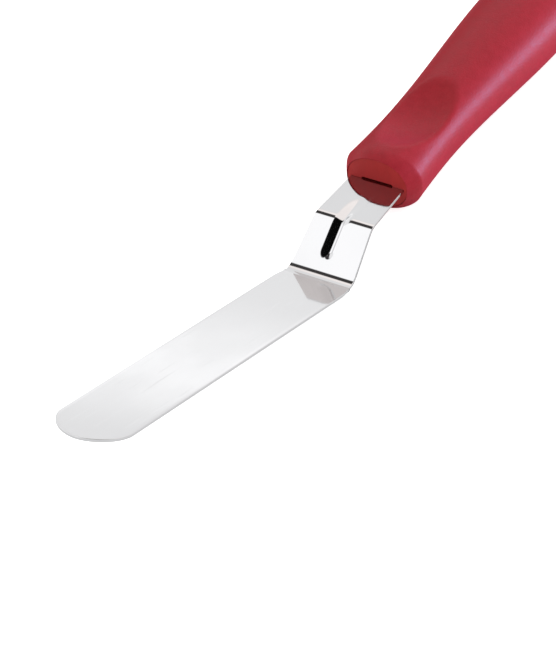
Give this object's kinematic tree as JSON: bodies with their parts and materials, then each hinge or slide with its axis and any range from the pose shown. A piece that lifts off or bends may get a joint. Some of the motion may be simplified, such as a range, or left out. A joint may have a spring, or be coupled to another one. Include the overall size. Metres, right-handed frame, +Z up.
{
  "type": "offset spatula",
  "caption": "Small offset icing spatula: a polished steel blade with a short crank and stiffening bead, in a red soft-grip handle with a thumb rest and hang hole.",
  "frame": {"origin": "on the resting plane, under the middle of the object's box: the heel of the blade and the underside of the handle touch this plane", "axes": "+X along the handle from the blade's tip towards the butt, +Y across the blade, +Z up from the resting plane"},
  "size_m": [0.2524, 0.0268, 0.0309],
  "materials": {
    "blade_steel": "polished stainless strip with very fine lengthwise grain",
    "pin_steel": "plain turned steel",
    "core_plastic": "moulded hard plastic, hidden in the grip",
    "plug_plastic": "moulded hard plastic, satin",
    "grip_rubber": "soft-touch rubber, satin with a very fine moulded grain",
    "eyelet_plastic": "moulded hard plastic, satin"
  },
  "bodies": {
    "root": {"blade": "blade_steel", "tang_pins": "pin_steel", "core_upper": "core_plastic", "core_lower": "core_plastic", "nose_plug": "plug_plastic", "grip_sleeve": "grip_rubber", "hang_eyelet": "eyelet_plastic"}
  },
  "joints": []
}
